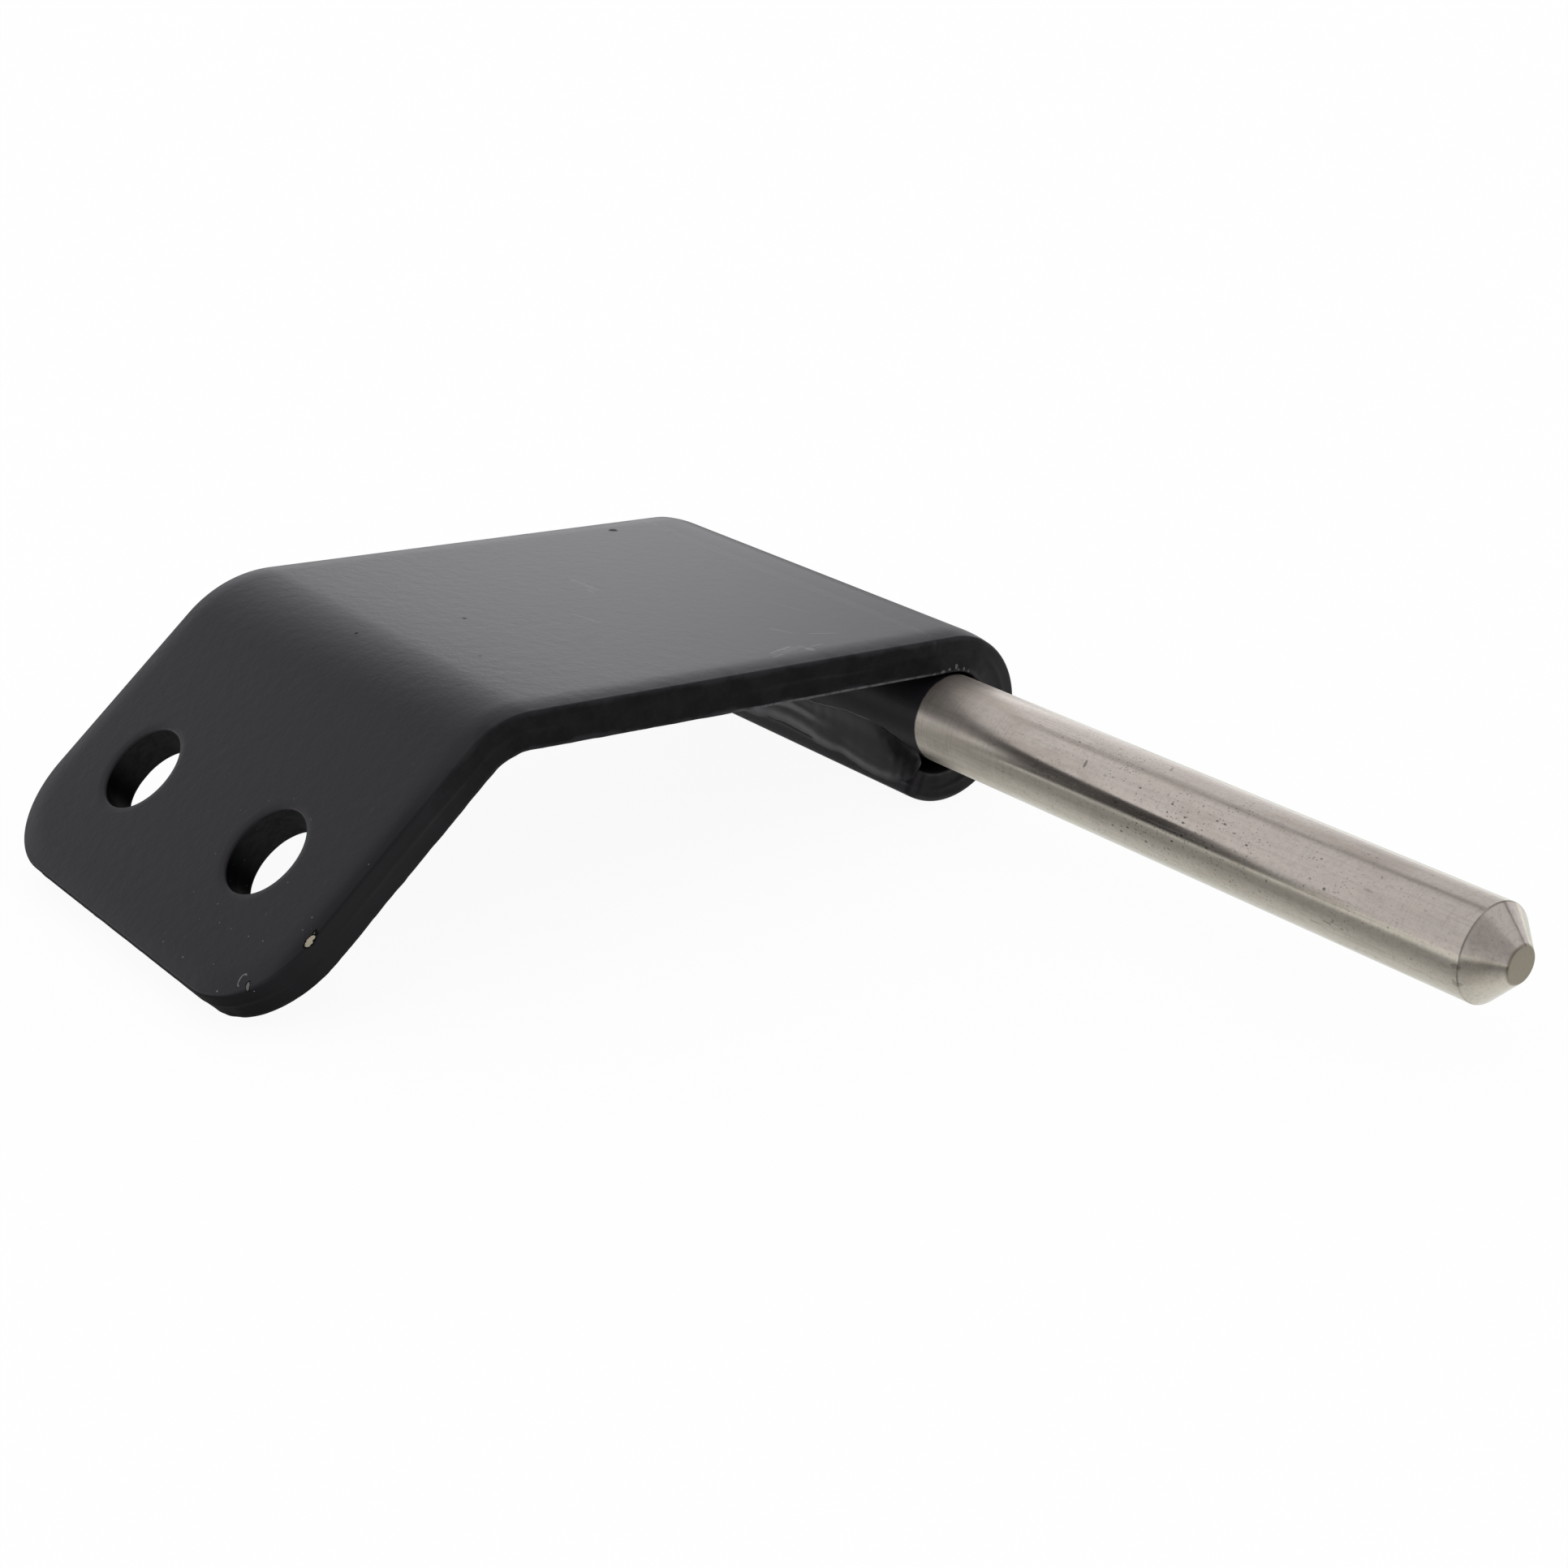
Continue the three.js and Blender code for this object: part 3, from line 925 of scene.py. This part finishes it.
def crack(shader, position, surface):
    """A hair-fine curved crack, open on one side, where a flake of paint has lifted."""
    centred = shader.stretch(shader.flat, (1, 1, 1), (4.1 - STRIP_WIDTH, -3.5, 0))
    oval = shader.stretch(centred, (1 / 0.42, 1 / 0.60, 0.0))
    shaken = shader.ramp(shader.noise(position, 1500.0), 0.3, 0.7, -0.15, 0.15)
    length = shader.total(shader.length(oval), shaken)
    ring = shader.ramp(shader.math("ABSOLUTE", shader.total(length, -1.0)), 0.07, 0.18, 0.85, 0.0)
    ring = shader.product(ring, shader.ramp(shader.split(oval)[0], -0.05, 0.3, 1.0, 0.0))
    return shader.over(ring, surface, shader.matt(CHIP_GREY))


def strip_paint(shader):
    """Satin black paint over the strip, with its scuffs, chips and dust, duller cut edges darkened partly as
    painted shade, painted light and shade in the holes, and painted highlights.
    """
    position = shader.position()
    shader.flat = shader.add("ShaderNodeUVMap", uv_map="flat_strip").outputs[0]
    across, along, _ = shader.split(shader.flat)
    depth = shader.add("ShaderNodeAttribute", attribute_name="depth_share").outputs["Fac"]
    thin_paint_and_shade = cut_paint_and_shade(shader, position, across, along, depth)
    uneven = shader.ramp(along, 45.0, 75.0, 1.4, 0.7)
    surface = paint(shader, position, thin_paint_and_shade, strength=uneven, normal=sunk_bend(shader, along))
    surface = hole_walls(shader, across, along, depth, surface)
    surface = scuffs_and_sheen(shader, depth, surface)
    surface = dust(shader, position, across, along, surface)
    surface = burr_and_spatter_glints(shader, across, along, depth, surface)
    surface = chips(shader, position, surface)
    return crack(shader, position, surface)


def weld_paint(shader):
    """The same paint, glossier where it ran over the weld, painted darker all over as shade, and darkest in
    the hollow at the weld's near end, a painted shadow.
    """
    position = shader.position()
    shaded_hollow_centre = Vector((50.5, HOOK_CENTRE_Y - 3.9, HOOK_CENTRE_Z - 3.6))
    length = shader.oval(position, shaded_hollow_centre, (4.0, 3.0, 1.5), (0, math.radians(28), 0))
    length = shader.total(length, shader.ramp(shader.noise(position, 500.0, 3.0), 0.3, 0.7, -0.2, 0.2))
    # Painted shade: partly dark all over the bead, and fully dark in the hollow at its near end.
    hollow = shader.ramp(length, 0.2, 1.15, 1.0, 0.35)
    return paint(shader, position, hollow, gloss=0.58, roughness=0.2, strength=0.3)


# Larger pits and stains on the pin: (distance along it, distance up its near side), half size, strength
PIN_SPOTS = (
    ((77.7, 3.9), (0.18, 0.42), 0.75),
    ((109.2, 2.0), (0.20, 0.16), 0.85),
    ((97.7, 3.4), (0.22, 0.10), 0.6),
    ((107.0, 1.5), (0.15, 0.12), 0.7),
    ((102.8, 0.5), (0.13, 0.12), 0.7),
    ((113.6, 3.4), (0.55, 0.10), 0.35),
    ((110.0, -1.0), (0.5, 0.12), 0.5),
    ((108.6, -1.6), (0.7, 0.10), 0.45),
    ((124.3, 0.3), (0.45, 0.30), 0.4),
    ((124.4, -1.5), (0.45, 0.40), 0.4),
    ((80.7, -1.0), (0.9, 0.9), 0.12),
    ((78.2, 2.7), (0.9, 0.5), 0.10),
    ((57.5, -0.9), (1.6, 0.7), 0.14),
    ((73.0, 5.6), (0.12, 0.10), 0.6),
    ((90.4, 5.1), (0.14, 0.10), 0.6),
    ((116.8, 1.1), (0.12, 0.12), 0.6),
)

# Between these places on the scene's X the pin turns from rough, beside the hook, to smooth
ROUGH_END, SMOOTH_START = 0.030, 0.045


def unrolled(shader, position):
    """The pin's surface laid out flat, in mm: along it, and up from the side that faces the flange."""
    centre = TO_SCENE @ Vector((0, HOOK_CENTRE_Y, HOOK_CENTRE_Z))
    x, y, z = shader.split(position)
    back = shader.total(shader.product(y, -1.0), centre.y)
    angle = shader.math("ARCTAN2", shader.total(z, -centre.z), back)
    along = shader.total(shader.product(x, 1 / MM), -pin_low.x / MM)
    return shader.join(along, shader.product(angle, PIN_RADIUS), 0.0)


def pin_pits(shader, position, x):
    """Pits, thickest in patches in the middle of the bare length, and the larger spots."""
    middle = shader.product(shader.ramp(x, 0.028, 0.062), shader.ramp(x, 0.070, 0.100, 1.0, 0.25))
    squeezed = shader.stretch(position, (0.6, 1.0, 1.0))
    pits = shader.product(dots(shader, squeezed, 1500.0, 0.20, 0.35), middle)
    fine_pits = shader.product(dots(shader, squeezed, 3400.0, 0.26, 0.75), middle)
    pits = shader.larger(pits, shader.product(fine_pits, 0.7))
    pits = shader.product(pits, shader.ramp(shader.noise(position, 240.0, 2.0), 0.38, 0.58, 0.15, 1.0))
    shader.flat = unrolled(shader, position)
    for seed, (place, size, strength) in enumerate(PIN_SPOTS):
        pits = shader.larger(pits, shader.product(shader.spot(place, size, 0.0, 0.5, seed), strength))
    return pits


def steel_colour(shader, position, x, turned, drawn, cloud):
    """Warm, pale steel with stains, streaks, turning marks, pits, a duller tip and a painted dark line of
    shade at its chamfer's edge.
    """
    colour = shader.mix(shader.ramp(cloud, 0.48, 0.74, 0.0, 0.55), BARE_COLOUR, STAINED_COLOUR)
    turning_marks = shader.ramp(x, ROUGH_END, SMOOTH_START, 0.5, 0.2)
    grain = shader.noise(shader.stretch(position, (1700.0, 2600.0, 2600.0)), 1.0, 3.0, 0.7)
    lines = shader.noise(shader.stretch(position, (60.0, 3200.0, 3200.0)), 1.0, 3.0, 0.6)
    for streaks in (
        shader.ramp(drawn, 0.5, 0.78, 0.0, 0.35),
        shader.product(shader.ramp(turned, 0.40, 0.75), turning_marks),
        shader.ramp(grain, 0.45, 0.70, 0.0, 0.34),
        shader.ramp(lines, 0.50, 0.72, 0.0, 0.30),
    ):
        colour = shader.mix(streaks, colour, STREAK_COLOUR)
    colour = shader.mix(shader.product(pin_pits(shader, position, x), 0.85), colour, PIT_COLOUR)
    tip = shader.ramp(x, pin_high.x - 0.25 * MM, pin_high.x - 0.05 * MM)
    colour = shader.mix(shader.product(tip, 0.85), colour, TIP_COLOUR)
    # Painted shade: a thin, broken dark line where the chamfer meets the round.
    chamfer = pin_high.x - TIP_CHAMFER * MM
    distance = shader.math("ABSOLUTE", shader.total(x, -chamfer))
    shade_breaks = shader.ramp(shader.noise(position, 350.0, 3.0), 0.35, 0.6, 0.1, 0.6)
    chamfer_shade = shader.product(shader.ramp(distance, 0.03 * MM, 0.11 * MM, 1.0, 0.0), shade_breaks)
    return shader.mix(chamfer_shade, colour, CHAMFER_SHADE_COLOUR)


def pin_steel(shader):
    """Drawn steel with turning marks, pits and stains; the end inside the hook is painted."""
    position = shader.position()
    x = shader.split(position)[0]
    turned = shader.noise(shader.stretch(position, (7000.0, 80.0, 80.0)), 1.0, 3.0, 0.65)
    drawn = shader.noise(shader.stretch(position, (30.0, 1300.0, 1300.0)), 1.0, 4.0, 0.65)
    cloud = shader.noise(shader.stretch(position, (90.0, 400.0, 400.0)), 1.0, 3.0, 0.6)
    roughness = shader.ramp(cloud, 0.3, 0.7, 0.14, 0.19)
    height = shader.total(turned, shader.product(drawn, 0.6))
    steel = shader.principled(
        Base_Color=steel_colour(shader, position, x, turned, drawn, cloud),
        Metallic=0.94,
        Roughness=shader.total(roughness, shader.ramp(x, ROUGH_END, SMOOTH_START, 0.26, 0.0)),
        Anisotropic=0.5,
        Anisotropic_Rotation=0.25,
        Tangent=shader.add("ShaderNodeTangent", direction_type="RADIAL", axis="X").outputs[0],
        Normal=shader.bump(height, 0.004 * MM, 0.6),
    )
    paint_end = shader.total(x, shader.product(shader.noise(position, 900.0), 0.2 * MM))
    bare = shader.ramp(paint_end, strip_high.x - 0.1 * MM, strip_high.x + 0.2 * MM)
    # The paint on the pin's end inside the hook is partly darkened: painted shade under the top plate.
    return shader.over(bare, paint(shader, position, 0.35), steel)


# ---- Pieces ----

strip_piece = bracket(material("painted_strip", strip_paint))
pin_piece = pin(material("drawn_steel", pin_steel))
weld_piece = weld_bead(material("painted_bead", weld_paint))

for piece, node, slot in (
    (strip_piece, "bracket", "painted_bracket"),
    (pin_piece, "pin", "bare_pin"),
    (weld_piece, "weld_bead", "painted_weld"),
):
    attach(piece, "root")
    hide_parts(node)


# ---- Floor ----

FLOOR_HALF_SIZE = 3.0
FLOOR_COLOUR = (0.965, 1.0, 0.97)


def floor_light(shader, x, y):
    """How bright the floor looks in the part's reflections: dimmer beside and under the pin and behind it."""
    near = shader.ramp(y, 0.010, 0.044)
    far = shader.ramp(y, 0.051, 0.074, 1.0, 0.0)
    level = shader.blend(shader.product(near, far), 0.86, 0.31)
    under = shader.product(shader.ramp(x, 0.020, 0.048, 1.0, 0.0), shader.ramp(y, 0.0, 0.03, 1.0, 0.0))
    under = shader.product(under, shader.ramp(x, -0.070, -0.045))
    under = shader.product(under, shader.ramp(y, -0.040, -0.022))
    level = shader.blend(under, level, 0.13)
    level = shader.product(level, shader.ramp(x, 0.10, 0.125, 1.0, 0.74))
    level = shader.total(level, shader.ramp(y, 0.12, 0.20, 0.0, 0.28))
    corner = shader.ramp(shader.total(x, shader.product(y, 0.85)), 0.045, 0.085, 1.0, 0.0)
    corner = shader.product(corner, shader.ramp(y, 0.068, 0.085))
    return shader.blend(corner, level, 0.24)


def floor_surface(shader):
    """A pale floor, like a light table: almost white to the camera, with a faint shadow."""
    position = shader.position()
    x, y, _ = shader.split(position)
    level = floor_light(shader, x, y)
    unseen = shader.add("ShaderNodeEmission", {"Color": FLOOR_COLOUR, "Strength": level}).outputs[0]
    grain = shader.ramp(shader.noise(position, 30.0), 0.3, 0.7, 0.98, 1.0)
    shaded = shader.matt(shader.product(grain, 0.10))
    glow = shader.add("ShaderNodeEmission", {"Strength": 0.935}).outputs[0]
    seen = shader.add("ShaderNodeAddShader", {0: shaded, 1: glow}).outputs[0]
    return shader.over(shader.camera_ray(), unseen, seen)


def floor():
    """A wide plane at the height of the part's lowest points."""
    half = FLOOR_HALF_SIZE
    height = Vector(cad_box[0]).z
    mesh = bpy.data.meshes.new("floor")
    corners = [(-half, -half, height), (half, -half, height), (half, half, height), (-half, half, height)]
    mesh.from_pydata(corners, [], [(0, 1, 2, 3)])
    mesh.materials.append(material("pale_floor", floor_surface))
    piece = bpy.data.objects.new("floor", mesh)
    bpy.context.scene.collection.objects.link(piece)


floor()


# ---- Light ----

LIGHT_COLOUR = (0.995, 0.995, 1.03)
SEEN_LEVEL = 0.99


def room_light(shader, x, y, z, left):
    """The room: softer overhead, dimmer on the left in front, on the right and along a narrow seam."""
    level = shader.ramp(z, 0.0, 0.5, 1.0, 0.76)
    beside = shader.product(left, shader.ramp(y, -0.1, 0.25, 1.0, 0.0))
    beside = shader.product(beside, shader.ramp(z, 0.15, 0.35))
    seam = shader.total(shader.product(x, -0.591), shader.product(y, 0.479))
    seam = shader.math("ABSOLUTE", shader.total(seam, shader.product(z, -0.650)))
    seam = shader.product(shader.ramp(seam, 0.02, 0.08, 1.0, 0.0), shader.ramp(y, 0.0, 0.1))
    for dimming in (
        shader.blend(beside, 1.0, 0.66),
        shader.blend(shader.ramp(x, 0.67, 0.70), 1.0, 0.62),
        shader.blend(seam, 1.0, 0.36),
        shader.ramp(x, -0.66, -0.54, 1.0, 0.80),
        shader.ramp(y, -0.82, -0.70, 0.78, 1.0),
    ):
        level = shader.product(level, dimming)
    return level


def lamps(shader, x, y, z, left):
    """The bright parts, both low down on the left: a wide one behind the part, and a gleam in front of it."""
    glow = shader.product(shader.ramp(y, 0.0, 0.42), 0.55)
    low = shader.product(shader.ramp(z, 0.12, 0.30, 2.5, 0.0), shader.ramp(z, 0.02, 0.12))
    behind = shader.product(low, shader.ramp(y, 0.36, 0.62))
    behind = shader.product(left, shader.total(glow, behind))
    gleam = shader.product(shader.ramp(x, -0.72, -0.66, 1.0, 0.0), shader.ramp(y, -0.60, -0.45, 1.0, 0.0))
    gleam = shader.product(gleam, shader.ramp(z, 0.09, 0.18, 2.6, 0.0))
    return shader.total(gleam, behind)


def studio_world():
    """A plain studio, evenly white to the camera. Left is -X, right +X, in front -Y and behind +Y."""
    world = bpy.data.worlds.new("studio")
    world.use_nodes = True
    shader = Shader(world.node_tree)
    direction = shader.add("ShaderNodeTexCoord").outputs["Generated"]
    x, y, z = shader.split(direction)
    left = shader.ramp(x, -0.80, -0.66, 1.0, 0.0)
    level = shader.total(room_light(shader, x, y, z, left), lamps(shader, x, y, z, left))
    camera_ray = shader.camera_ray()
    level = shader.blend(camera_ray, level, SEEN_LEVEL)
    light = shader.mix(camera_ray, LIGHT_COLOUR, WHITE)
    background = shader.add("ShaderNodeBackground", {"Color": light, "Strength": level}).outputs[0]
    shader.add("ShaderNodeOutputWorld", {"Surface": background})
    bpy.context.scene.world = world


studio_world()


# ---- Camera ----

CAMERA_PLACE = (0.22575, -0.10173, 0.11017)
CAMERA_ANGLES = (66.006, 1.995, 52.133)
CAMERA_LENS = 62.357
SENSOR_WIDTH = 36.0


def camera():
    """The viewing angle: from the pin's side, a little above, looking at the flange and the pin's end."""
    lens = bpy.data.cameras.new("camera")
    lens.lens = CAMERA_LENS
    lens.sensor_width = SENSOR_WIDTH
    lens.clip_start = 0.01
    placed = bpy.data.objects.new("camera", lens)
    placed.location = CAMERA_PLACE
    placed.rotation_euler = Euler([math.radians(angle) for angle in CAMERA_ANGLES])
    bpy.context.scene.collection.objects.link(placed)
    bpy.context.scene.camera = placed


camera()
bpy.context.scene.view_settings.view_transform = "Standard"
